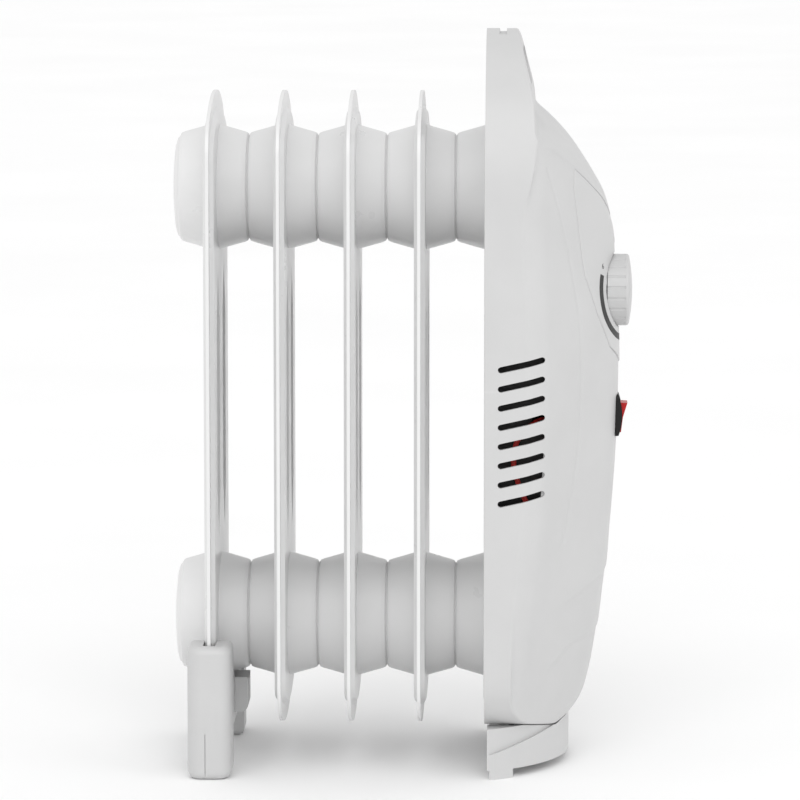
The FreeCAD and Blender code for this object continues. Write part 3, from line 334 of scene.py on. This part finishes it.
def smooth(obj, sharp=SHARP_DEG):
    """Smooth shading that keeps edges steeper than an angle crisp."""
    bm = bmesh.new()
    bm.from_mesh(obj.data)
    limit = math.radians(sharp)
    for face in bm.faces:
        face.smooth = True
    for edge in bm.edges:
        if len(edge.link_faces) == 2:
            edge.smooth = edge.calc_face_angle(0.0) < limit
    bm.to_mesh(obj.data)
    bm.free()


def cut_away(obj, *cutters):
    """Cuts closed meshes out of obj and deletes them."""
    for cutter in cutters:
        step = obj.modifiers.new("cut", "BOOLEAN")
        step.operation = "DIFFERENCE"
        step.solver = "EXACT"
        step.object = cutter
        graph = bpy.context.evaluated_depsgraph_get()
        result = bpy.data.meshes.new_from_object(obj.evaluated_get(graph))
        obj.modifiers.clear()
        obj.data = result
        bpy.data.objects.remove(cutter)


def grid_faces(rows, columns, wrap=False):
    """Quads over a grid of points stored row by row."""
    faces = []
    for row in range(rows - 1):
        for column in range(columns if wrap else columns - 1):
            following = (column + 1) % columns
            faces.append((row * columns + column, row * columns + following,
                          (row + 1) * columns + following, (row + 1) * columns + column))
    return faces


def add_ring(points, faces, previous, ring):
    """Adds a loop of points and the band of quads from the loop before it."""
    first = len(points)
    points += ring.tolist()
    count = len(ring)
    for i in range(count):
        j = (i + 1) % count
        faces.append((previous[i], previous[j], first + j, first + i))
    return list(range(first, first + count))


def extrusion(name, outline, low_x, high_x):
    """Closed prism along X over an outline of (across, height) points."""
    count = len(outline)
    points = [(low_x, y, z) for y, z in outline] + [(high_x, y, z) for y, z in outline]
    faces = grid_faces(2, count, wrap=True)
    faces += [tuple(range(count)), tuple(range(count, 2 * count))]
    obj = add_mesh(name, points, faces)
    tidy(obj)
    return obj


def arc(centre, radius, start, stop, count):
    """Points on an arc; angles in degrees counted from the first axis."""
    angles = np.radians(np.linspace(start, stop, count))
    return [(centre[0] + radius * math.cos(a), centre[1] + radius * math.sin(a)) for a in angles]


def resample(points, step):
    """The same path in even steps of about the given length."""
    points = np.array(points, float)
    lengths = np.hypot(*np.diff(points, axis=0).T)
    run = np.concatenate(([0.0], np.cumsum(lengths)))
    places = np.linspace(0.0, run[-1], max(2, int(round(run[-1] / step)) + 1))
    return np.column_stack([np.interp(places, run, points[:, k]) for k in (0, 1)])


# ---- housing surface ------------------------------------------------------------------------
def spline(table):
    """Smooth interpolation through a table, without overshoot."""
    xs = np.array([a for a, b in table])
    ys = np.array([b for a, b in table])
    slopes = np.diff(ys) / np.diff(xs)
    inner = np.where(slopes[1:] * slopes[:-1] > 0,
                     2 * slopes[1:] * slopes[:-1] / (slopes[1:] + slopes[:-1] + 1e-12), 0.0)
    tangents = np.concatenate(([slopes[0]], inner, [slopes[-1]]))

    def value(x):
        x = np.clip(x, xs[0], xs[-1])
        k = np.clip(np.searchsorted(xs, x) - 1, 0, len(xs) - 2)
        h = xs[k + 1] - xs[k]
        t = (x - xs[k]) / h
        return ((2 * t ** 3 - 3 * t ** 2 + 1) * ys[k] + (t ** 3 - 2 * t ** 2 + t) * h * tangents[k]
                + (3 * t ** 2 - 2 * t ** 3) * ys[k + 1] + (t ** 3 - t ** 2) * h * tangents[k + 1])

    return value


nose_line = spline(NOSE_LINE)
cap_line = spline(CAP_LINE)
slab_line = spline(SLAB_FRONT)


def smooth_max(a, b, blend):
    mix = np.clip(0.5 + 0.5 * (a - b) / blend, 0.0, 1.0)
    return b * (1 - mix) + a * mix + blend * mix * (1 - mix)


def smooth_min(a, b, blend):
    return -smooth_max(-a, -b, blend)


def step_up(value, low, high):
    t = np.clip((value - low) / (high - low), 0.0, 1.0)
    return t * t * (3 - 2 * t)


def line_height(line, y):
    return np.interp(np.abs(y), [p[0] for p in line], [p[1] for p in line])


def distance_to_line(line, y, z):
    """Distance in the front view from points to a path and its mirror image."""
    y = np.abs(y)
    nearest = np.full(np.shape(y), 1e6)
    for (ya, za), (yb, zb) in zip(line, line[1:]):
        along = np.clip(((y - ya) * (yb - ya) + (z - za) * (zb - za))
                        / ((yb - ya) ** 2 + (zb - za) ** 2), 0.0, 1.0)
        nearest = np.minimum(nearest, np.hypot(y - ya - along * (yb - ya),
                                               z - za - along * (zb - za)))
    return nearest


def nose_surface(y, z):
    """Two flanks that fall away from the middle, with a cap sloping back over them."""
    across = np.abs(y)
    drop = FLANK_SLOPE * (np.hypot(y, NOSE_ROUNDNESS) - NOSE_ROUNDNESS)
    drop = drop + SHOULDER_BEND * np.maximum(0.0, across - SHOULDER_START_Y) ** 2
    cap = cap_line(z) - across ** 2 / (2 * CAP_ROUND_R)
    return smooth_min(nose_line(z) - drop, cap, 1.2)


def relief(y, z):
    """Raised crest over the panel, the long side crease and the two stepped chevrons."""
    across = np.abs(y)
    above = z - line_height(CREST, y)
    lift = CREST_RISE * step_up(above, -1.4, 0.2) * (1 - step_up(above, 4.0, 30.0))
    lift = lift * (1 - step_up(across, 56.0, 64.0))
    groove = np.exp(-(distance_to_line(CREASE, y, z) / CREASE_HALF_WIDTH) ** 2)
    lift = lift - CREASE_DEPTH * groove
    for line in CHEVRONS:
        above = z - line_height(line, y)
        ledge = step_up(above, -0.9, 0.9) * (1 - step_up(above, 2.0, 22.0))
        lift = lift + CHEVRON_STEP * ledge * (1 - step_up(across, line[-1][0] - 10, line[-1][0]))
    return lift


def belly_front(z):
    """The rounded lower front edge."""
    turn = math.radians(BELLY_TURN_DEG)
    end_x = BELLY_CENTRE_X + BELLY_R * math.sin(turn)
    end_z = BELLY_CENTRE_Z - BELLY_R * math.cos(turn)
    below = np.clip(BELLY_CENTRE_Z - z, 0.0, BELLY_R)
    rounded = BELLY_CENTRE_X + np.sqrt(BELLY_R ** 2 - below ** 2)
    return np.where(z < end_z, rounded, end_x + 0.4 * (z - end_z))


def front_surface(y, z, detail=True):
    """The housing's front, as a distance forward, with or without its relief."""
    nose = nose_surface(y, z) + (relief(y, z) if detail else 0.0)
    front = smooth_max(nose, slab_line(z), 3.0)
    return smooth_min(front, belly_front(z), 3.0)


def half_outline(inset=0.0, top=None):
    """Right half of the housing's outline from bottom centre to top centre."""
    width = HALF_WIDTH - inset
    low, high = BOTTOM_Z + inset, TOP_Z - inset
    corner, crown = BOTTOM_CORNER - inset, BOTTOM_CROWN - inset
    side, head = TOP_SIDE_R - inset, TOP_CROWN - inset
    low_dz = math.sqrt((crown - corner) ** 2 - (width - corner) ** 2)
    low_z = low + crown - low_dz
    low_turn = math.degrees(math.atan2(-low_dz, width - corner))
    high_dz = math.sqrt((head - side) ** 2 - (width - side) ** 2)
    high_z = high - head - high_dz
    high_turn = math.degrees(math.atan2(high_dz, side - width))
    points = arc((0, low + crown), crown, -90, low_turn, 60)
    points += arc((width - corner, low_z), corner, low_turn, 0, 40)
    points += arc((width - side, high_z), side, 0, high_turn, 90)
    points += arc((0, high - head), head, high_turn, 90, 60)
    points = np.array(points)
    if top is not None:
        keep = points[points[:, 1] < top]
        points = np.vstack([keep, [[keep[-1][0], top], [0.0, top]]])
    points[0][0] = points[-1][0] = 0.0
    return resample(points, ROW_STEP)


def front_shell(name, inset, nose_inset, rear_x, edge_r, top=None, detail=True):
    """Closed solid under the housing's front: a field of heights, rounded off into flat sides."""
    outline = half_outline(inset + edge_r, top)
    rows = len(outline)
    across = np.linspace(-1.0, 1.0, COLUMN_COUNT + 1)
    y = outline[:, :1] * across[None, :]
    z = np.repeat(outline[:, 1:], COLUMN_COUNT + 1, axis=1)
    x = front_surface(y, z, detail) - nose_inset
    points = np.column_stack([x.ravel(), y.ravel(), z.ravel()]).tolist()
    faces = grid_faces(rows, COLUMN_COUNT + 1)
    # the loop round the field: up the right side and down the left
    right = [row * (COLUMN_COUNT + 1) + COLUMN_COUNT for row in range(rows)]
    left = [row * (COLUMN_COUNT + 1) for row in range(rows)]
    loop = right + left[::-1][1:-1]
    ring = np.array([points[i] for i in loop])
    tangent = np.roll(ring, -1, axis=0) - np.roll(ring, 1, axis=0)
    normal = np.column_stack([np.zeros(len(ring)), tangent[:, 2], -tangent[:, 1]])
    normal /= np.maximum(np.linalg.norm(normal, axis=1, keepdims=True), 1e-9)
    # the arc starts at the slope that the field already has at its border
    beyond = ring + normal * 0.2
    ahead = front_surface(beyond[:, 1], beyond[:, 2], detail) - nose_inset
    first = np.clip(np.arctan2(ring[:, 0] - ahead, 0.2), 0.0, math.radians(75))
    radius = edge_r / (1 - np.sin(first))
    previous = loop
    for share in np.linspace(0.2, 1.0, 5):
        angle = first + (math.pi / 2 - first) * share
        edge = ring + normal * (radius * (np.sin(angle) - np.sin(first)))[:, None]
        edge[:, 0] -= radius * (np.cos(first) - np.cos(angle))
        previous = add_ring(points, faces, previous, edge)
    back = ring + normal * edge_r
    back[:, 0] = rear_x
    previous = add_ring(points, faces, previous, back)
    faces.append(tuple(previous))
    obj = add_mesh(name, points, faces)
    tidy(obj)
    return obj


# ---- panel ----------------------------------------------------------------------------------
def panel_ring(grow, fraction, count=288):
    """Loop round the knob between its pocket and the panel's shield outline."""
    right = np.array(PANEL_OUTLINE)
    left = right[-2:0:-1] * (-1, 1)
    corners = np.vstack([right, left]) - (0.0, KNOB_Z)
    outline = resample(np.vstack([corners, corners[:1]]), 0.4)[:-1]
    turn = np.arctan2(outline[:, 0], outline[:, 1])
    reach = np.hypot(outline[:, 0], outline[:, 1])
    order = np.argsort(turn)
    angles = np.linspace(-math.pi, math.pi, count, endpoint=False)
    # sharp corners keep a point of their own
    for corner in corners:
        angle = math.atan2(corner[0], corner[1])
        angles[np.argmin(np.abs(angles - angle))] = angle
    radius = np.interp(angles, turn[order], reach[order], period=2 * math.pi) + grow
    radius = POCKET_R + (radius - POCKET_R) * fraction
    return np.column_stack([radius * np.sin(angles), KNOB_Z + radius * np.cos(angles)])


def with_front(ring, offset):
    """Lifts a loop of (across, height) points on to the front surface."""
    y, z = ring[:, 0], ring[:, 1]
    return np.column_stack([front_surface(y, z, detail=False) + offset, y, z])


def make_control_panel():
    """Shield with a cup for the knob, as one closed band of rings round the shaft's hole."""
    points, faces = [], []
    cup = panel_ring(0, 0)
    floor = cup.copy()
    floor[:, 0] *= SHAFT_HOLE_R / POCKET_R
    floor[:, 1] = KNOB_Z + (floor[:, 1] - KNOB_Z) * SHAFT_HOLE_R / POCKET_R
    first = np.column_stack([np.full(len(floor), POCKET_FLOOR_X - PANEL_THICKNESS), floor])
    points += first.tolist()
    loop = list(range(len(points)))
    start = loop
    rings = [np.column_stack([np.full(len(floor), POCKET_FLOOR_X), floor])]
    low = np.column_stack([np.full(len(cup), POCKET_FLOOR_X), cup])
    rings.append(low)
    rim = with_front(cup, PANEL_PROUD - 0.5)
    rim[:, 0] = np.maximum(rim[:, 0], POCKET_FLOOR_X + 0.05)
    rings.append(rim)
    for fraction in (0.03, 0.1, 0.2, 0.3, 0.4, 0.5, 0.6, 0.7, 0.8, 0.9, 0.96):
        rings.append(with_front(panel_ring(0, fraction), PANEL_PROUD))
    rings.append(with_front(panel_ring(-0.25, 1.0), PANEL_PROUD - 0.05))
    rings.append(with_front(panel_ring(-0.05, 1.0), PANEL_PROUD - 0.3))
    rings.append(with_front(panel_ring(0, 1.0), PANEL_PROUD - 0.6))
    rings.append(with_front(panel_ring(0, 1.0), 0.1 - PANEL_SEAT))
    rings.append(with_front(panel_ring(0, 0.1), 0.1 - PANEL_SEAT))
    scale = (POCKET_R + CUP_WALL) / POCKET_R
    back = np.column_stack([cup[:, 0] * scale, KNOB_Z + (cup[:, 1] - KNOB_Z) * scale])
    rings.append(np.column_stack([np.full(len(back), POCKET_FLOOR_X - PANEL_THICKNESS), back]))
    for ring in rings:
        loop = add_ring(points, faces, loop, ring)
    count = len(start)
    for i in range(count):
        j = (i + 1) % count
        faces.append((loop[i], loop[j], start[j], start[i]))
    panel = add_mesh("control_panel_skin", points, faces, "panel_plastic")
    tidy(panel, 0.005)
    smooth(panel)
    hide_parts("control_panel")
    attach(panel, "heater")


def panel_seat_cutter():
    """The panel's seat and the bore behind it."""
    low = with_front(panel_ring(PANEL_GAP, 1.0), -PANEL_SEAT)
    high = low.copy()
    high[:, 0] = BEYOND_NOSE_X
    points, faces = [], []
    points += low.tolist()
    loop = list(range(len(points)))
    top = add_ring(points, faces, loop, high)
    faces.append(tuple(top))
    for fraction in (0.8, 0.6, 0.4, 0.2, 0.0):
        loop = add_ring(points, faces, loop, with_front(panel_ring(PANEL_GAP, fraction),
                                                        -PANEL_SEAT))
    faces.append(tuple(loop))
    seat = add_mesh("seat_cutter", points, faces)
    tidy(seat, 0.005)
    cup = panel_ring(0, 0)
    scale = BORE_R / POCKET_R
    bore = np.column_stack([cup[:, 0] * scale, KNOB_Z + (cup[:, 1] - KNOB_Z) * scale])
    bore_cutter = extrusion("bore_cutter", bore.tolist(), 80.0, BEYOND_NOSE_X + 1.0)
    return seat, bore_cutter


# ---- housing --------------------------------------------------------------------------------
def louvre_cutter(index, side):
    """Round-ended slot through one side wall, rising towards the front."""
    rise = math.radians(LOUVRE_RISE_DEG)
    rear = (LOUVRE_REAR_X, LOUVRE_TOP_Z - LOUVRE_PITCH * index)
    front = (rear[0] + LOUVRE_LENGTH * math.cos(rise), rear[1] + LOUVRE_LENGTH * math.sin(rise))
    outline = arc(front, LOUVRE_WIDTH / 2, LOUVRE_RISE_DEG - 90, LOUVRE_RISE_DEG + 90, 9)
    outline += arc(rear, LOUVRE_WIDTH / 2, LOUVRE_RISE_DEG + 90, LOUVRE_RISE_DEG + 270, 9)
    ys = sorted((side * (HALF_WIDTH - 8), side * (HALF_WIDTH + 4)))
    count = len(outline)
    points = [(x, ys[0], z) for x, z in outline] + [(x, ys[1], z) for x, z in outline]
    faces = grid_faces(2, count, wrap=True)
    faces += [tuple(range(count)), tuple(range(count, 2 * count))]
    obj = add_mesh("louvre_cutter", points, faces)
    tidy(obj)
    return obj


def box_cutter(x_range, y_range, z_range):
    outline = [(y_range[0], z_range[0]), (y_range[1], z_range[0]),
               (y_range[1], z_range[1]), (y_range[0], z_range[1])]
    return extrusion("box_cutter", outline, *x_range)


def joined(cutters):
    """Several separate cutters as one mesh, so that they cut in one go."""
    points, faces = [], []
    for cutter in cutters:
        first = len(points)
        points += [tuple(v.co / MM) for v in cutter.data.vertices]
        faces += [tuple(first + i for i in p.vertices) for p in cutter.data.polygons]
        bpy.data.objects.remove(cutter)
    obj = add_mesh("cutters", points, faces)
    tidy(obj)
    return obj


def make_housing():
    housing = front_shell("housing_moulding", 0.0, 0.0, REAR_X, 0.9)
    cavity = front_shell("cavity", WALL, NOSE_WALL, REAR_X - 5.0, 0.4, CAVITY_TOP_Z, detail=False)
    cut_away(housing, cavity)
    cutters = [louvre_cutter(index, side) for index in range(LOUVRE_COUNT) for side in (-1, 1)]
    grip_r = (GRIP_HIGH_Z - GRIP_LOW_Z) / 2
    grip_z = (GRIP_HIGH_Z + GRIP_LOW_Z) / 2
    reach = GRIP_HALF_WIDTH - grip_r
    grip = arc((reach, grip_z), grip_r, -90, 90, 25) + arc((-reach, grip_z), grip_r, 90, 270, 25)
    cutters.append(extrusion("grip_cutter", grip, 30.0, 90.0))
    rear, front, half, depth = TOP_SLOT
    cutters.append(box_cutter((rear, front), (-half, half), (TOP_Z - depth, TOP_Z + 5)))
    cutters.append(box_cutter((85, 120), (-SWITCH_HOLE_HALF_Y, SWITCH_HOLE_HALF_Y),
                              (SWITCH_Z - SWITCH_HOLE_HALF_Z, SWITCH_Z + SWITCH_HOLE_HALF_Z)))
    cut_away(housing, joined(cutters), *panel_seat_cutter())
    housing.data.materials.clear()
    housing.data.materials.append(MATERIALS["housing_plastic"])
    smooth(housing)
    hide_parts("housing_shell")
    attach(housing, "heater")


# ---- dial print -----------------------------------------------------------------------------
DIAL_R = 23.5
DIAL_HALF_WIDTH = 1.6
DIAL_START = 66.0               # clock angles of the band's two ends
DIAL_STOP = 294.0


def on_panel(radius, clock):
    """A spot on the panel at a distance from the knob's centre and a clock angle in degrees."""
    turn = math.radians(clock)
    return np.array([[radius * math.sin(turn), KNOB_Z + radius * math.cos(turn)]])


def printed_strip(name, stations, half_width):
    """Thin film of ink that lies on the panel along a list of (radius, clock) stations."""
    points = []
    for offset in (0.0, 0.06):
        for side in (-1, 1):
            for radius, clock in stations:
                ring = on_panel(radius + side * half_width, clock)
                points += with_front(ring, PANEL_PROUD + offset).tolist()
    count = len(stations)
    faces = []
    for i in range(count - 1):
        a, b, c, d = (k * count + i for k in range(4))
        faces += [(c, c + 1, d + 1, d), (a, b, b + 1, a + 1),
                  (a, a + 1, c + 1, c), (b, d, d + 1, b + 1)]
    faces += [(0, 2 * count, 3 * count, count),
              (count - 1, 2 * count - 1, 4 * count - 1, 3 * count - 1)]
    strip = add_mesh(name, points, faces, "print")
    tidy(strip, 0.002)
    smooth(strip)
    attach(strip, "heater")


def printed_digit(name, text, radius, clock, height):
    """A digit laid on the panel."""
    curve = bpy.data.curves.new(name, "FONT")
    curve.body = text
    curve.align_x = curve.align_y = "CENTER"
    curve.size = height
    curve.extrude = 0.03
    helper = bpy.data.objects.new(name + "_text", curve)
    bpy.context.scene.collection.objects.link(helper)
    graph = bpy.context.evaluated_depsgraph_get()
    mesh = bpy.data.meshes.new_from_object(helper.evaluated_get(graph))
    bpy.data.objects.remove(helper)
    centre = on_panel(radius, clock)[0]
    points = []
    for vertex in mesh.vertices:
        spot = np.array([[centre[0] + vertex.co.x, centre[1] + vertex.co.y]])
        points += with_front(spot, PANEL_PROUD + 0.03 + vertex.co.z).tolist()
    faces = [tuple(p.vertices) for p in mesh.polygons]
    digit = add_mesh(name, points, faces, "print")
    tidy(digit, 0.001)
    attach(digit, "heater")


def make_dial():
    band = [(DIAL_R, clock) for clock in np.linspace(DIAL_START, DIAL_STOP, 90)]
    printed_strip("dial_band", band, DIAL_HALF_WIDTH)
    printed_digit("dial_low", "1", DIAL_R + 1.0, 56.0, 3.8)
    printed_digit("dial_high", "6", DIAL_R + 1.0, 304.0, 3.8)
    printed_digit("dial_off", "0", DIAL_R + 1.5, 0.0, 4.2)


# ---- stage, light and camera ----------------------------------------------------------------
CAMERA = Vector((0.071, -2.50, 0.510))
TARGET = Vector((-0.0018, 0.0, 0.1809))
PICTURE_WIDTH = 0.402           # metres across the picture at the heater's middle


def make_stage():
    reach = 40.0 / MM
    corners = [(-reach, -reach, 0), (reach, -reach, 0), (reach, reach, 0), (-reach, reach, 0)]
    floor = add_mesh("floor", corners, [(0, 1, 2, 3)])
    floor.data.materials.append(floor_paint("floor_paint"))


def area_light(name, place, aim, size, power):
    lamp = bpy.data.lights.new(name, "AREA")
    lamp.shape = "RECTANGLE"
    lamp.size, lamp.size_y = size
    lamp.energy = power
    obj = bpy.data.objects.new(name, lamp)
    obj.location = place
    obj.rotation_euler = (Vector(aim) - Vector(place)).to_track_quat("-Z", "Y").to_euler()
    bpy.context.scene.collection.objects.link(obj)


def make_light():
    world = bpy.data.worlds.new("studio")
    bpy.context.scene.world = world
    world.use_nodes = True
    world.node_tree.nodes["Background"].inputs["Color"].default_value = (1.0, 1.0, 1.0, 1.0)
    world.node_tree.nodes["Background"].inputs["Strength"].default_value = 0.87
    bpy.context.scene.view_settings.view_transform = "Standard"
    sun = bpy.data.lights.new("sun", "SUN")
    sun.energy = 0.8
    sun.angle = math.radians(50)
    obj = bpy.data.objects.new("sun", sun)
    obj.rotation_euler = Vector((0.05, 0.85, -0.75)).to_track_quat("-Z", "Y").to_euler()
    bpy.context.scene.collection.objects.link(obj)
    area_light("key", (0.5, -2.3, 1.5), (0, 0, 0.18), (1.2, 1.6), 3.0)
    area_light("fill", (1.9, -1.2, 0.9), (0, 0, 0.18), (1.0, 1.4), 4.0)


def make_camera():
    data = bpy.data.cameras.new("camera")
    camera = bpy.data.objects.new("camera", data)
    camera.location = CAMERA
    camera.rotation_euler = (TARGET - CAMERA).to_track_quat("-Z", "Y").to_euler()
    data.sensor_width = 36.0
    data.lens = 36.0 * (TARGET - CAMERA).length / PICTURE_WIDTH
    data.clip_end = 50.0
    bpy.context.scene.collection.objects.link(camera)
    bpy.context.scene.camera = camera


dress_cad_nodes()
make_housing()
make_control_panel()
make_dial()
make_stage()
make_light()
make_camera()
